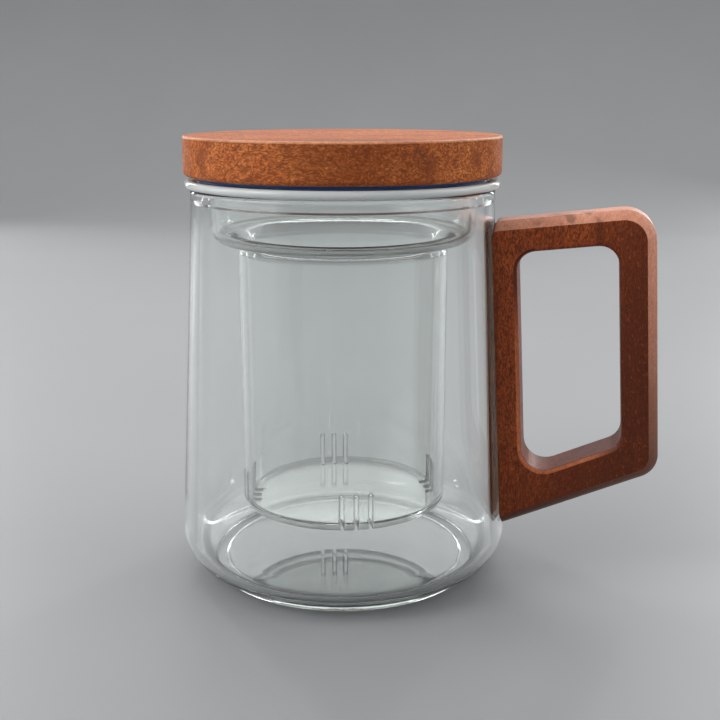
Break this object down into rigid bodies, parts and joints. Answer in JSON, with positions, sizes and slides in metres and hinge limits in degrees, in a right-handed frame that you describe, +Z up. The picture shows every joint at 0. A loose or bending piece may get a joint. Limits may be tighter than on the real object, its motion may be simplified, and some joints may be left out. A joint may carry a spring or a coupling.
{
  "type": "lidded tea mug with infuser",
  "caption": "Tapered clear glass mug with a bonded wooden loop handle, a drop-in slotted glass infuser and a lift-off wooden lid with a soft seal.",
  "frame": {"origin": "centre of the foot ring, on the table", "axes": "+Z up along the mug's axis, +X towards the handle, +Y across it"},
  "size_m": [0.1398, 0.0968, 0.1275],
  "materials": {
    "mug_glass": "clear, polished",
    "infuser_glass": "clear, polished",
    "handle_wood": "satin, oiled",
    "lid_wood": "satin, oiled",
    "seal_rubber": "satin",
    "adhesive": "clear, amber tinted"
  },
  "bodies": {
    "mug": {"mug_glass": "mug_glass", "handle": "handle_wood", "handle_bond": "adhesive"},
    "infuser": {"infuser_glass": "infuser_glass"},
    "lid": {"lid_wood": "lid_wood", "lid_seal": "seal_rubber"}
  },
  "joints": [
    {"name": "infuser_lift", "type": "slide", "parent": "mug", "child": "infuser", "axis": [0, 0, 1], "range_m": [0, 0.105]},
    {"name": "lid_lift", "type": "slide", "parent": "infuser", "child": "lid", "axis": [0, 0, 1], "range_m": [0, 0.06]}
  ]
}
